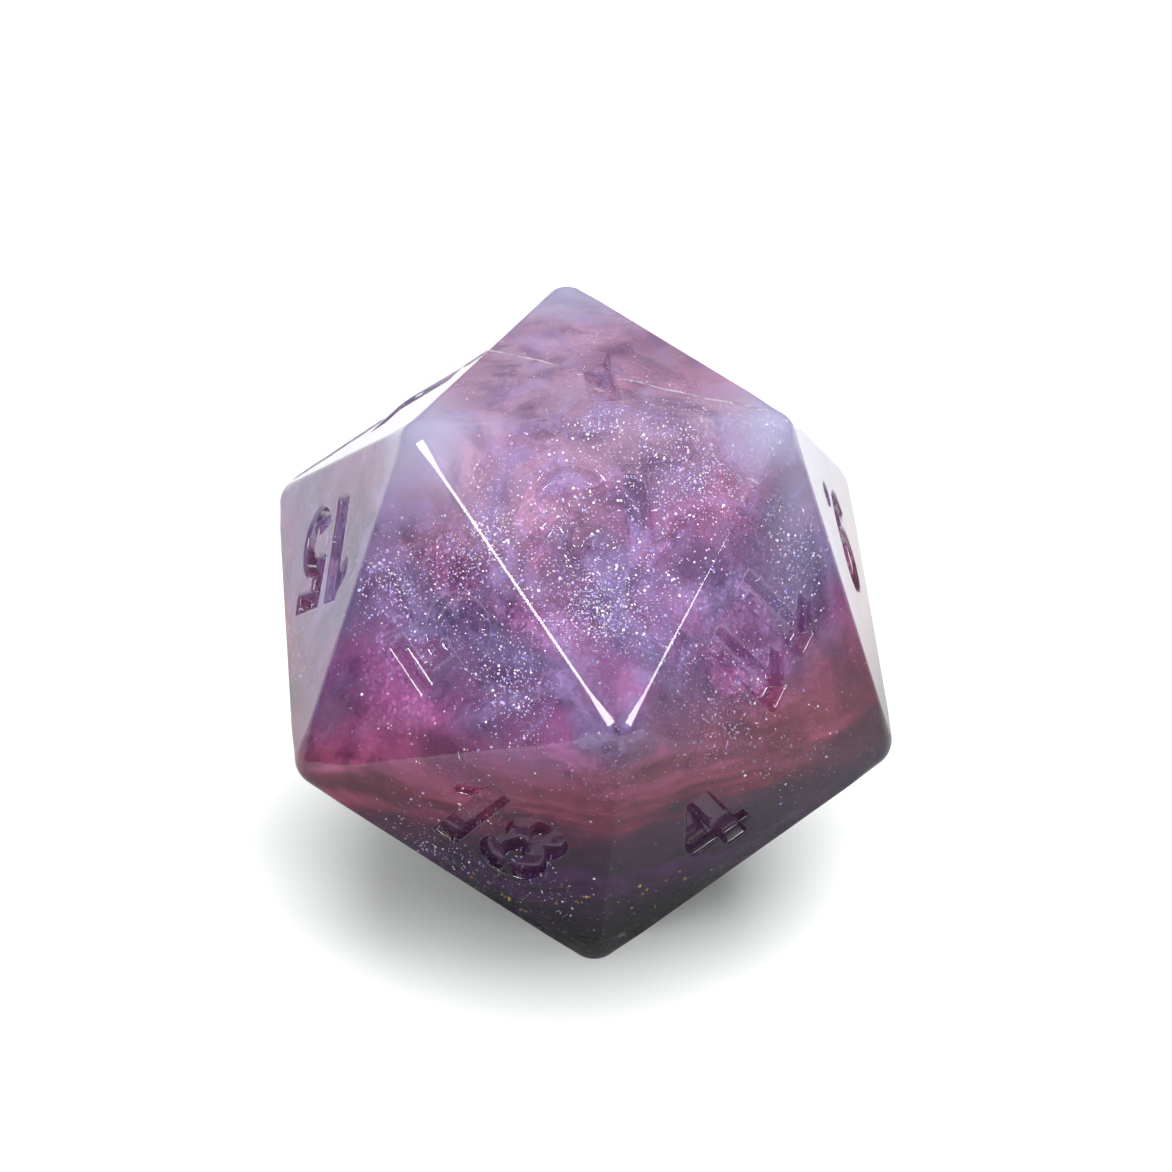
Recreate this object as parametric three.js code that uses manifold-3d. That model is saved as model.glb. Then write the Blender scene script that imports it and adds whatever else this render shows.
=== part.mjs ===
// A twenty-sided die (d20) hand-cast in five tinted resin pours.
// Millimetres, +Z up. The die rests on the face that carries 20, with the face that carries 1 on top.
// The origin is the centre of the resting face, and -Y is the front.

import * as THREE from 'three';
import { mergeVertices, mergeGeometries } from 'three/addons/utils/BufferGeometryUtils.js';
import Module from 'manifold-3d';

// Driving dimensions
const ACROSS_FLATS = 20;
const CORNER_RADIUS = 1.05;
const EDGE_RADIUS = 0.35;
const BLEND_LENGTH = 2.2;
const NUMERAL_HEIGHT = 3.8;
const NUMERAL_DEPTH = 0.6;
const NUMERAL_DROP = 0.35;
const DIGIT_WIDTH = 2.5;
const DIGIT_GAP = 0.5;
const STEM = 1.0;
const CROSSBAR = 0.68;
const DOT_RADIUS = 0.45;
const POUR_GAP = 0.3;

// Fineness of the facets
const ARC_STEPS = 3;
const STRIP_STEPS = 2;
const CURVE_STEP = THREE.MathUtils.degToRad(30);

// A regular icosahedron standing on a face
const GOLDEN = (1 + Math.sqrt(5)) / 2;
const EDGE = (ACROSS_FLATS * Math.sqrt(3)) / GOLDEN ** 2;
const SMALL_RING = EDGE / Math.sqrt(3);
const LARGE_RING = SMALL_RING * GOLDEN;
const CENTRE = new THREE.Vector3(0, 0, ACROSS_FLATS / 2);
const HALF_TURN = Math.acos(Math.sqrt(5) / 3) / 2;

// The corners in four rings of three, named by ring and by where they lie
const onRing = (radius, degrees, height) => {
  const angle = THREE.MathUtils.degToRad(degrees);
  return new THREE.Vector3(radius * Math.cos(angle), radius * Math.sin(angle), height);
};

const CORNERS = {
  restFront: onRing(SMALL_RING, -90, 0),
  restRight: onRing(SMALL_RING, 30, 0),
  restLeft: onRing(SMALL_RING, 150, 0),
  lowerRight: onRing(LARGE_RING, -30, SMALL_RING),
  lowerBack: onRing(LARGE_RING, 90, SMALL_RING),
  lowerLeft: onRing(LARGE_RING, -150, SMALL_RING),
  upperFront: onRing(LARGE_RING, -90, LARGE_RING),
  upperRight: onRing(LARGE_RING, 30, LARGE_RING),
  upperLeft: onRing(LARGE_RING, 150, LARGE_RING),
  crownRight: onRing(SMALL_RING, -30, ACROSS_FLATS),
  crownBack: onRing(SMALL_RING, 90, ACROSS_FLATS),
  crownLeft: onRing(SMALL_RING, -150, ACROSS_FLATS),
};

// Each face's numeral and corners. The top of the numeral points at the first corner.
const FACES = [
  ['1', 'crownBack', 'crownLeft', 'crownRight'],
  ['2', 'lowerLeft', 'restFront', 'restLeft'],
  ['3', 'lowerBack', 'crownBack', 'upperRight'],
  ['4', 'upperFront', 'lowerRight', 'restFront'],
  ['5', 'lowerLeft', 'upperFront', 'crownLeft'],
  ['6.', 'upperRight', 'lowerRight', 'restRight'],
  ['7', 'upperLeft', 'crownLeft', 'crownBack'],
  ['8', 'lowerBack', 'restRight', 'restLeft'],
  ['9.', 'lowerRight', 'crownRight', 'upperRight'],
  ['10', 'upperLeft', 'lowerBack', 'restLeft'],
  ['11', 'lowerRight', 'upperFront', 'crownRight'],
  ['12', 'upperLeft', 'lowerLeft', 'restLeft'],
  ['13', 'upperFront', 'crownLeft', 'crownRight'],
  ['14', 'lowerRight', 'restFront', 'restRight'],
  ['15', 'lowerLeft', 'crownLeft', 'upperLeft'],
  ['16', 'upperRight', 'lowerBack', 'restRight'],
  ['17', 'lowerBack', 'upperLeft', 'crownBack'],
  ['18', 'upperFront', 'restFront', 'lowerLeft'],
  ['19', 'upperRight', 'crownBack', 'crownRight'],
  ['20', 'restFront', 'restRight', 'restLeft'],
];

// The pours from the foot up, each with the height of its top along the axis
const POURS = [
  { name: 'midnight_pour', top: 5.0, color: 0x2b2733 },
  { name: 'oxblood_pour', top: 8.2, color: 0x5a2434 },
  { name: 'rose_pour', top: 11.0, color: 0x8c4674 },
  { name: 'violet_pour', top: 16.6, color: 0x7a5298 },
  { name: 'pearl_pour', top: ACROSS_FLATS + 2, color: 0xa79cc0 },
];

const wasm = await Module();
wasm.setup();

function toSolid(geometry) {
  const bare = new THREE.BufferGeometry();
  bare.setAttribute('position', geometry.getAttribute('position'));
  bare.setIndex(geometry.getIndex());
  const merged = mergeVertices(bare, 1e-5);
  return new wasm.Manifold(new wasm.Mesh({
    numProp: 3,
    vertProperties: Float32Array.from(merged.getAttribute('position').array),
    triVerts: Uint32Array.from(merged.getIndex().array),
  }));
}

function toGeometry(solid) {
  const mesh = solid.getMesh();
  const geometry = new THREE.BufferGeometry();
  geometry.setAttribute('position', new THREE.BufferAttribute(mesh.vertProperties, mesh.numProp));
  geometry.setIndex(new THREE.BufferAttribute(mesh.triVerts, 1));
  geometry.computeVertexNormals();
  return geometry;
}

// Rounded body: flat faces, a rolled strip along each edge, and a ball at each corner

const faceCentre = (corners) => corners
  .reduce((sum, name) => sum.add(CORNERS[name]), new THREE.Vector3())
  .divideScalar(3);

const outward = (corners) => faceCentre(corners).sub(CENTRE).normalize();

// The roll's radius at a distance from the nearer corner ball's centre line
function rollRadius(distance) {
  const share = THREE.MathUtils.smoothstep(distance, 0, BLEND_LENGTH);
  return THREE.MathUtils.lerp(CORNER_RADIUS, EDGE_RADIUS, share);
}

// Where a ball of this radius sits when it touches the faces at a corner
const ballCentre = (corner, radius) => {
  const inward = CENTRE.clone().sub(corner).normalize();
  const halfHeight = outward(FACES[0].slice(1)).dot(CORNERS.crownBack.clone().sub(CENTRE).normalize());
  return corner.clone().addScaledVector(inward, radius / halfHeight);
};

const turned = (from, to, share) => {
  const angle = from.angleTo(to);
  return from.clone().multiplyScalar(Math.sin((1 - share) * angle))
    .addScaledVector(to, Math.sin(share * angle))
    .divideScalar(Math.sin(angle));
};

// Distances along an edge, in from its two ends, where the strip has a cross-section
function stripStations(length) {
  const inFromEnd = Array.from({ length: STRIP_STEPS + 1 }, (_, i) => (BLEND_LENGTH * i) / STRIP_STEPS);
  return [...inFromEnd, ...inFromEnd.map((distance) => length - distance).reverse()];
}

// The strip between two faces, as rows of points across it
function stripRows(start, end, normalA, normalB) {
  const along = end.clone().sub(start).normalize();
  const reach = ballCentre(start, CORNER_RADIUS).sub(start).dot(along);
  const length = start.distanceTo(end) - 2 * reach;
  const bisector = normalA.clone().add(normalB).normalize();
  return stripStations(length).map((distance) => {
    const radius = rollRadius(Math.min(distance, length - distance));
    const axis = start.clone()
      .addScaledVector(along, reach + distance)
      .addScaledVector(bisector, -radius / Math.cos(HALF_TURN));
    return Array.from({ length: ARC_STEPS + 1 }, (_, i) => (
      turned(normalA, normalB, i / ARC_STEPS).multiplyScalar(radius).add(axis)
    ));
  });
}

function pushTriangle(positions, a, b, c) {
  const normal = b.clone().sub(a).cross(c.clone().sub(a));
  const outwards = normal.dot(a.clone().sub(CENTRE)) > 0;
  const order = outwards ? [a, b, c] : [a, c, b];
  order.forEach((point) => positions.push(point.x, point.y, point.z));
}

function pushGrid(positions, rows) {
  for (let i = 0; i + 1 < rows.length; i += 1) {
    for (let j = 0; j + 1 < rows[i].length; j += 1) {
      pushTriangle(positions, rows[i][j], rows[i + 1][j], rows[i + 1][j + 1]);
      pushTriangle(positions, rows[i][j], rows[i + 1][j + 1], rows[i][j + 1]);
    }
  }
}

// The part of a corner ball between its tip and two neighbouring faces
function pushBallWedge(positions, corner, normalA, normalB) {
  const centre = ballCentre(corner, CORNER_RADIUS);
  const tip = corner.clone().sub(CENTRE).normalize();
  const rows = Array.from({ length: ARC_STEPS + 1 }, (_, i) => {
    if (i === 0) return [tip.clone().multiplyScalar(CORNER_RADIUS).add(centre)];
    const left = turned(tip, normalA, i / ARC_STEPS);
    const right = turned(tip, normalB, i / ARC_STEPS);
    return Array.from({ length: i + 1 }, (__, j) => (
      turned(left, right, j / i).multiplyScalar(CORNER_RADIUS).add(centre)
    ));
  });
  for (let i = 0; i < ARC_STEPS; i += 1) {
    for (let j = 0; j <= i; j += 1) {
      pushTriangle(positions, rows[i][j], rows[i + 1][j], rows[i + 1][j + 1]);
      if (j < i) pushTriangle(positions, rows[i][j], rows[i + 1][j + 1], rows[i][j + 1]);
    }
  }
}

function roundedBody() {
  const positions = [];
  const normals = new Map(FACES.map(([label, ...corners]) => [label, outward(corners)]));
  const rims = new Map(FACES.map(([label]) => [label, new Map()]));
  for (let i = 0; i < FACES.length; i += 1) {
    for (let j = i + 1; j < FACES.length; j += 1) {
      const [labelA, ...cornersA] = FACES[i];
      const [labelB, ...cornersB] = FACES[j];
      const shared = cornersA.filter((name) => cornersB.includes(name));
      if (shared.length !== 2) continue;
      const [start, end] = shared.map((name) => CORNERS[name]);
      const rows = stripRows(start, end, normals.get(labelA), normals.get(labelB));
      pushGrid(positions, rows);
      shared.forEach((name) => {
        pushBallWedge(positions, CORNERS[name], normals.get(labelA), normals.get(labelB));
      });
      rims.get(labelA).set(shared.join(), rows.map((row) => row[0]));
      rims.get(labelB).set(shared.join(), rows.map((row) => row[ARC_STEPS]));
    }
  }
  FACES.forEach(([label, a, b, c]) => {
    const sides = rims.get(label);
    const run = (from, to) => (
      sides.get([from, to].join()) ?? [...sides.get([to, from].join())].reverse()
    ).slice(0, -1);
    const loop = [...run(a, b), ...run(b, c), ...run(c, a)];
    const middle = faceCentre([a, b, c]);
    loop.forEach((point, i) => pushTriangle(positions, middle, point, loop[(i + 1) % loop.length]));
  });
  const geometry = new THREE.BufferGeometry();
  geometry.setAttribute('position', new THREE.Float32BufferAttribute(positions, 3));
  return toSolid(mergeVertices(geometry, 1e-4));
}

// Numerals, drawn in a box DIGIT_WIDTH wide and NUMERAL_HEIGHT tall with its corner at the origin

const LEFT = 0;
const RIGHT = DIGIT_WIDTH;
const MIDDLE = DIGIT_WIDTH / 2;
const TOP = NUMERAL_HEIGHT;
const OVERLAP = 0.05;

const polygon = (points) => new THREE.Shape(points.map(([x, y]) => new THREE.Vector2(x, y)));

const bar = (x0, y0, x1, y1) => polygon([[x0, y0], [x1, y0], [x1, y1], [x0, y1]]);

function ellipsePoints(x, y, radiusX, radiusY, start, end) {
  const steps = Math.ceil(Math.abs(end - start) / CURVE_STEP);
  return Array.from({ length: steps + 1 }, (_, i) => {
    const angle = start + ((end - start) * i) / steps;
    return [x + radiusX * Math.cos(angle), y + radiusY * Math.sin(angle)];
  });
}

// A bowl: an elliptical band, STEM thick at its sides and CROSSBAR thick at its top and bottom
function bowl(x, y, radiusX, radiusY, startDegrees, endDegrees) {
  const start = THREE.MathUtils.degToRad(startDegrees);
  const end = THREE.MathUtils.degToRad(endDegrees);
  const outer = ellipsePoints(x, y, radiusX, radiusY, start, end);
  const inner = ellipsePoints(x, y, radiusX - STEM, radiusY - CROSSBAR, start, end);
  if (endDegrees - startDegrees < 360) return polygon([...outer, ...inner.reverse()]);
  const ring = polygon(outer.slice(0, -1));
  ring.holes.push(polygon(inner.slice(0, -1)));
  return ring;
}

// The loop and tail of a 9, which is a 6 turned upside down
function nine() {
  const loopHeight = TOP * 0.32;
  const reach = MIDDLE;
  return [
    bowl(MIDDLE, TOP - loopHeight, reach, loopHeight, 0, 360),
    bowl(MIDDLE, TOP * 0.42, reach, TOP * 0.42, -145, 0),
    bar(RIGHT - STEM, TOP * 0.41, RIGHT, TOP - loopHeight),
  ];
}

const DIGITS = {
  0: () => [bowl(MIDDLE, TOP / 2, MIDDLE, TOP / 2, 0, 360)],
  1: () => [
    bar(STEM * 0.75, 0, STEM * 1.75, TOP),
    polygon([
      [STEM, TOP],
      [LEFT, TOP * 0.79],
      [LEFT, TOP * 0.63],
      [STEM, TOP * 0.79],
    ]),
  ],
  2: () => [
    bowl(MIDDLE, TOP - 1.2, MIDDLE, 1.2, 0, 165),
    polygon([
      [RIGHT, TOP - 1.25],
      [RIGHT - STEM, TOP - 1.25],
      [LEFT, CROSSBAR],
      [LEFT + STEM * 1.3, CROSSBAR - OVERLAP],
    ]),
    bar(LEFT, 0, RIGHT, CROSSBAR),
  ],
  3: () => [
    bowl(MIDDLE - 0.1, TOP - 1.05, MIDDLE, 1.05, -70, 160),
    bowl(MIDDLE, 1.14, MIDDLE, 1.14, -160, 75),
    bar(MIDDLE - 0.3, TOP / 2 - 0.26, MIDDLE + 0.45, TOP / 2 + 0.34),
  ],
  4: () => [
    bar(RIGHT - STEM * 1.35, 0, RIGHT - STEM * 0.4, TOP),
    bar(LEFT, TOP * 0.2, RIGHT, TOP * 0.2 + CROSSBAR),
    polygon([
      [RIGHT - STEM * 1.35, TOP],
      [LEFT, TOP * 0.2 + CROSSBAR],
      [LEFT, TOP * 0.2 + CROSSBAR / 2],
      [STEM * 0.9, TOP * 0.2 + CROSSBAR / 2],
      [RIGHT - STEM * 1.3, TOP * 0.72],
    ]),
  ],
  5: () => [
    bar(LEFT + 0.25, TOP - CROSSBAR, RIGHT - 0.1, TOP),
    polygon([
      [LEFT + 0.25, TOP],
      [LEFT + 0.1, TOP * 0.5],
      [LEFT + STEM, TOP * 0.5],
      [LEFT + 0.2 + STEM, TOP],
    ]),
    bowl(MIDDLE, TOP * 0.34, MIDDLE, TOP * 0.34, -155, 122),
  ],
  6: () => nine().map((shape) => {
    const flip = (points) => points.map(({ x, y }) => [RIGHT - x, TOP - y]);
    const turnedOver = polygon(flip(shape.getPoints()));
    turnedOver.holes = shape.holes.map((hole) => polygon(flip(hole.getPoints())));
    return turnedOver;
  }),
  7: () => [
    bar(LEFT, TOP - CROSSBAR, RIGHT, TOP),
    polygon([
      [RIGHT - STEM * 1.25, TOP - CROSSBAR / 2],
      [RIGHT, TOP - CROSSBAR / 2],
      [RIGHT, TOP - CROSSBAR],
      [LEFT + STEM * 1.35, 0],
      [LEFT + STEM * 0.3, 0],
    ]),
  ],
  8: () => [
    bowl(MIDDLE, TOP - 1.05, MIDDLE - 0.1, 1.05, 0, 360),
    bowl(MIDDLE, 1.17, MIDDLE, 1.17, 0, 360),
  ],
  9: nine,
  '.': () => [polygon(ellipsePoints(DOT_RADIUS, DOT_RADIUS, DOT_RADIUS, DOT_RADIUS, 0, 2 * Math.PI).slice(0, -1))],
};

const digitWidth = (digit) => ({ 1: STEM * 1.75, '.': 2 * DOT_RADIUS }[digit] ?? DIGIT_WIDTH);

function extruded(shape) {
  const clearance = 1;
  const geometry = new THREE.ExtrudeGeometry(shape, {
    depth: NUMERAL_DEPTH + clearance,
    bevelEnabled: false,
    curveSegments: 1,
  });
  return geometry.translate(0, 0, -NUMERAL_DEPTH);
}

// The solid to cut from the face for a numeral, in the die's frame
function numeralCutter([label, ...corners]) {
  const middle = faceCentre(corners);
  const normal = outward(corners);
  const up = CORNERS[corners[0]].clone().sub(middle).normalize();
  const right = up.clone().cross(normal);
  const digits = [...label];
  const width = digits.reduce((sum, digit) => sum + digitWidth(digit), 0) + DIGIT_GAP * (digits.length - 1);
  const place = new THREE.Matrix4().makeBasis(right, up, normal).setPosition(middle);
  let left = -width / 2;
  let cutter = null;
  digits.forEach((digit) => {
    DIGITS[digit]().forEach((shape) => {
      const stroke = toSolid(extruded(shape)
        .translate(left, -NUMERAL_HEIGHT / 2 - NUMERAL_DROP, 0)
        .applyMatrix4(place));
      cutter = cutter ? cutter.add(stroke) : stroke;
    });
    left += digitWidth(digit) + DIGIT_GAP;
  });
  return cutter;
}

// Pours

// How far the top of a pour rises above its own height, where the resins slid over each other
const ripple = (x, y, seed) => (
  0.35 * Math.sin(0.42 * x + 1.9 * seed) * Math.cos(0.36 * y + 1.3 * seed) + 0.035 * x * Math.cos(2.1 * seed)
);

// Everything up to a pour's top, raised or lowered by a shift
function resinUpTo(index, shift) {
  const size = 30;
  const cells = 7;
  const floor = -2;
  const geometry = new THREE.BoxGeometry(size, size, 1, cells, cells, 1);
  const position = geometry.getAttribute('position');
  for (let i = 0; i < position.count; i += 1) {
    const surface = POURS[index].top + ripple(position.getX(i), position.getY(i), index) + shift;
    position.setZ(i, position.getZ(i) > 0 ? surface : floor);
  }
  return toSolid(geometry);
}

function pourSolid(index) {
  const filled = casting.intersect(resinUpTo(index, -POUR_GAP / 2));
  return largest(index > 0 ? filled.subtract(resinUpTo(index - 1, POUR_GAP / 2)) : filled);
}

// The largest body left by a cut, without the slivers between two digits
const largest = (solid) => solid.decompose().reduce((a, b) => (a.volume() > b.volume() ? a : b));

// The die

const casting = FACES.reduce((body, face) => body.subtract(numeralCutter(face)), roundedBody());
const die = new THREE.Group();

POURS.forEach(({ name, color }, index) => {
  const material = new THREE.MeshStandardMaterial({ color, roughness: 0.12, metalness: 0 });
  const mesh = new THREE.Mesh(toGeometry(pourSolid(index)), material);
  mesh.name = name;
  die.add(mesh);
});

export default die;
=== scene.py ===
"""A hand-cast resin d20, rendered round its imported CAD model.

The clear resin surface, with its engraved numerals, is one closed mesh. Under it lies the pigment of the
five tinted pours, and between the two float mica, glitter and gold flakes. A thin mould line crosses two
faces. Lengths are in metres.
"""
import math

import bpy
import numpy as np
from mathutils import Matrix, Vector
from mathutils.geometry import delaunay_2d_cdt


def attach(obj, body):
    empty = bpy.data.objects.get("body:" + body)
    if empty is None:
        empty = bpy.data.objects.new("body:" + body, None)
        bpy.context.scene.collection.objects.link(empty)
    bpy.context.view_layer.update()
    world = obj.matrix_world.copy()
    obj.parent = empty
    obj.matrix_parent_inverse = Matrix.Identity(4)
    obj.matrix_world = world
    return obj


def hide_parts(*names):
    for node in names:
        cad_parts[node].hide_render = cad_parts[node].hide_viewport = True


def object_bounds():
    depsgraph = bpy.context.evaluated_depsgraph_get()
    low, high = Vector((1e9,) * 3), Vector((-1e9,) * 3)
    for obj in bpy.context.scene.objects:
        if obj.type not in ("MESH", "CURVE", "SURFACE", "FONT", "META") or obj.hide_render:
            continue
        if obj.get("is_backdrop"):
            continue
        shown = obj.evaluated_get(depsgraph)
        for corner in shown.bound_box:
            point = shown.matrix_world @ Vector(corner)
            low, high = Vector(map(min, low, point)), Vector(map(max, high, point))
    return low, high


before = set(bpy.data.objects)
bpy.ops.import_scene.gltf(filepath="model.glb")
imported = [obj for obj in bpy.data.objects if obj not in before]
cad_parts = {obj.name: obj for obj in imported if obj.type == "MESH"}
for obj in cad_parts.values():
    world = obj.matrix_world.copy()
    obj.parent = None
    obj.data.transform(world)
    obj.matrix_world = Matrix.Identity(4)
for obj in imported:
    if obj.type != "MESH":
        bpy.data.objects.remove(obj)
cad_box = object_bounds()

MM = 0.001
rng = np.random.default_rng(20)

# Driving dimensions, as in the CAD model but for a shorter blend from edge to corner
ACROSS_FLATS = 20 * MM
CORNER_RADIUS = 1.05 * MM
EDGE_RADIUS = 0.35 * MM
BLEND_LENGTH = 1.5 * MM
NUMERAL_HEIGHT = 3.8 * MM
NUMERAL_DEPTH = 0.6 * MM
NUMERAL_DROP = 0.35 * MM
DIGIT_WIDTH = 2.5 * MM
DIGIT_GAP = 0.5 * MM
STEM = 1.0 * MM
CROSSBAR = 0.68 * MM
DOT_RADIUS = 0.45 * MM

# A regular icosahedron standing on a face
GOLDEN = (1 + 5**0.5) / 2
EDGE = ACROSS_FLATS * 3**0.5 / GOLDEN**2
SMALL_RING = EDGE / 3**0.5
LARGE_RING = SMALL_RING * GOLDEN
CENTRE = np.array([0, 0, ACROSS_FLATS / 2])
HALF_TURN = math.acos(5**0.5 / 3) / 2
CORNER_DEPTH = 1 / math.sqrt((5 + 2 * 5**0.5) / 15)


def on_ring(radius, degrees, height):
    angle = math.radians(degrees)
    return np.array([radius * math.cos(angle), radius * math.sin(angle), height])


CORNERS = {
    "restFront": on_ring(SMALL_RING, -90, 0),
    "restRight": on_ring(SMALL_RING, 30, 0),
    "restLeft": on_ring(SMALL_RING, 150, 0),
    "lowerRight": on_ring(LARGE_RING, -30, SMALL_RING),
    "lowerBack": on_ring(LARGE_RING, 90, SMALL_RING),
    "lowerLeft": on_ring(LARGE_RING, -150, SMALL_RING),
    "upperFront": on_ring(LARGE_RING, -90, LARGE_RING),
    "upperRight": on_ring(LARGE_RING, 30, LARGE_RING),
    "upperLeft": on_ring(LARGE_RING, 150, LARGE_RING),
    "crownRight": on_ring(SMALL_RING, -30, ACROSS_FLATS),
    "crownBack": on_ring(SMALL_RING, 90, ACROSS_FLATS),
    "crownLeft": on_ring(SMALL_RING, -150, ACROSS_FLATS),
}

# Each face's numeral and corners. The top of the numeral points at the first corner.
FACES = [
    ("1", "crownBack", "crownLeft", "crownRight"),
    ("2", "lowerLeft", "restFront", "restLeft"),
    ("3", "lowerBack", "crownBack", "upperRight"),
    ("4", "upperFront", "lowerRight", "restFront"),
    ("5", "lowerLeft", "upperFront", "crownLeft"),
    ("6.", "upperRight", "lowerRight", "restRight"),
    ("7", "upperLeft", "crownLeft", "crownBack"),
    ("8", "lowerBack", "restRight", "restLeft"),
    ("9.", "lowerRight", "crownRight", "upperRight"),
    ("10", "upperLeft", "lowerBack", "restLeft"),
    ("11", "lowerRight", "upperFront", "crownRight"),
    ("12", "upperLeft", "lowerLeft", "restLeft"),
    ("13", "upperFront", "crownLeft", "crownRight"),
    ("14", "lowerRight", "restFront", "restRight"),
    ("15", "lowerLeft", "crownLeft", "upperLeft"),
    ("16", "upperRight", "lowerBack", "restRight"),
    ("17", "lowerBack", "upperLeft", "crownBack"),
    ("18", "upperFront", "restFront", "lowerLeft"),
    ("19", "upperRight", "crownBack", "crownRight"),
    ("20", "restFront", "restRight", "restLeft"),
]


def unit(vector):
    return vector / np.linalg.norm(vector)


def new_mesh(name, points, polygons):
    mesh = bpy.data.meshes.new(name)
    mesh.from_pydata(points, [], polygons)
    return mesh


def ringed(rings, count):
    """Polygons round a middle point and then rings of count points, facing down where they are level."""
    around = [(i, (i + 1) % count) for i in range(count)]
    polygons = [(0, 1 + b, 1 + a) for a, b in around]
    for low in range(1, 1 + (rings - 1) * count, count):
        high = low + count
        polygons += [(low + a, low + b, high + b, high + a) for a, b in around]
    return polygons


def add_object(name, data):
    thing = bpy.data.objects.new(name, data)
    bpy.context.scene.collection.objects.link(thing)
    return thing


class Face:
    """A face's numeral and corners, and the frame of its plane."""

    def __init__(self, label, *names):
        self.label = label
        self.names = names
        self.middle = sum(CORNERS[name] for name in names) / 3
        self.normal = unit(self.middle - CENTRE)
        self.up = unit(CORNERS[names[0]] - self.middle)
        self.right = np.cross(self.up, self.normal)

    def to_plane(self, points, middle=None):
        shifted = np.asarray(points) - (self.middle if middle is None else middle)
        return np.stack([shifted @ self.right, shifted @ self.up], -1)

    def from_plane(self, flat, depth):
        return self.middle + flat[..., :1] * self.right + flat[..., 1:] * self.up - depth * self.normal


faces = [Face(*row) for row in FACES]

# ---- Numerals: each digit is bars and bowls in a box DIGIT_WIDTH wide and NUMERAL_HEIGHT tall ----

RIGHT = DIGIT_WIDTH
MIDDLE = DIGIT_WIDTH / 2
TOP = NUMERAL_HEIGHT
CURVE_STEP = math.radians(5)


def bar(x0, y0, x1, y1):
    return [np.array([(x0, y0), (x1, y0), (x1, y1), (x0, y1)])]


def outline(*points):
    return [np.array(points)]


def ellipse(x, y, radius_x, radius_y, start=0.0, end=2 * math.pi):
    angle = np.linspace(start, end, math.ceil((end - start) / CURVE_STEP) + 1)
    return np.stack([x + radius_x * np.cos(angle), y + radius_y * np.sin(angle)], -1)


def bowl(x, y, radius_x, radius_y, start=0, end=360):
    """An elliptical band, STEM thick at its sides and CROSSBAR thick at its top and bottom."""
    arc = math.radians(start), math.radians(end)
    outer = ellipse(x, y, radius_x, radius_y, *arc)
    inner = ellipse(x, y, radius_x - STEM, radius_y - CROSSBAR, *arc)
    if end - start < 360:
        return [np.concatenate([outer, inner[::-1]])]
    return [outer[:-1], inner[:-1]]


SHOULDER = TOP - 1.2 * MM
BEAM = TOP * 0.2
LOOP = TOP * 0.32
NINE = [
    bowl(MIDDLE, TOP - LOOP, MIDDLE, LOOP),
    bowl(MIDDLE, TOP * 0.42, MIDDLE, TOP * 0.42, -145, 0),
    bar(RIGHT - STEM, TOP * 0.41, RIGHT, TOP - LOOP),
]

# The strokes of each digit. Each stroke is an outline, or an outline and the hole in it.
DIGITS = {
    "0": [bowl(MIDDLE, TOP / 2, MIDDLE, TOP / 2)],
    "1": [
        bar(STEM * 0.75, 0, STEM * 1.75, TOP),
        outline((STEM, TOP), (0, TOP * 0.79), (0, TOP * 0.63), (STEM, TOP * 0.79)),
    ],
    "2": [
        bowl(MIDDLE, SHOULDER, MIDDLE, 1.2 * MM, 0, 165),
        outline((RIGHT, SHOULDER), (RIGHT - STEM, SHOULDER), (0, CROSSBAR), (STEM * 1.3, CROSSBAR / 2)),
        bar(0, 0, RIGHT, CROSSBAR),
    ],
    "3": [
        bowl(MIDDLE - 0.1 * MM, TOP - 1.05 * MM, MIDDLE, 1.05 * MM, -70, 160),
        bowl(MIDDLE, 1.14 * MM, MIDDLE, 1.14 * MM, -160, 75),
        bar(MIDDLE - 0.3 * MM, TOP / 2 - 0.26 * MM, MIDDLE + 0.45 * MM, TOP / 2 + 0.34 * MM),
    ],
    "4": [
        bar(RIGHT - STEM * 1.35, 0, RIGHT - STEM * 0.4, TOP),
        bar(0, BEAM, RIGHT, BEAM + CROSSBAR),
        outline(
            (RIGHT - STEM * 1.3, TOP),
            (0, BEAM + CROSSBAR),
            (0, BEAM + CROSSBAR / 2),
            (STEM * 0.9, BEAM + CROSSBAR / 2),
            (RIGHT - STEM * 1.3, TOP * 0.72),
        ),
    ],
    "5": [
        bar(0.25 * MM, TOP - CROSSBAR, RIGHT - 0.1 * MM, TOP),
        outline((0.25 * MM, TOP), (0.1 * MM, TOP / 2), (STEM, TOP / 2), (STEM + 0.2 * MM, TOP)),
        bowl(MIDDLE, TOP * 0.34, MIDDLE, TOP * 0.34, -155, 122),
    ],
    "6": [[np.array([RIGHT, TOP]) - line for line in stroke] for stroke in NINE],
    "7": [
        bar(0, TOP - CROSSBAR, RIGHT, TOP),
        outline(
            (RIGHT - STEM * 1.25, TOP - CROSSBAR / 2),
            (RIGHT, TOP - CROSSBAR / 2),
            (RIGHT, TOP - CROSSBAR),
            (STEM * 1.35, 0),
            (STEM * 0.3, 0),
        ),
    ],
    "8": [
        bowl(MIDDLE, TOP - 1.05 * MM, MIDDLE - 0.1 * MM, 1.05 * MM),
        bowl(MIDDLE, 1.17 * MM, MIDDLE, 1.17 * MM),
    ],
    "9": NINE,
    ".": [[ellipse(DOT_RADIUS, DOT_RADIUS, DOT_RADIUS, DOT_RADIUS)[:-1]]],
}


def digit_width(digit):
    return {"1": STEM * 1.75, ".": 2 * DOT_RADIUS}.get(digit, DIGIT_WIDTH)


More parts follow.
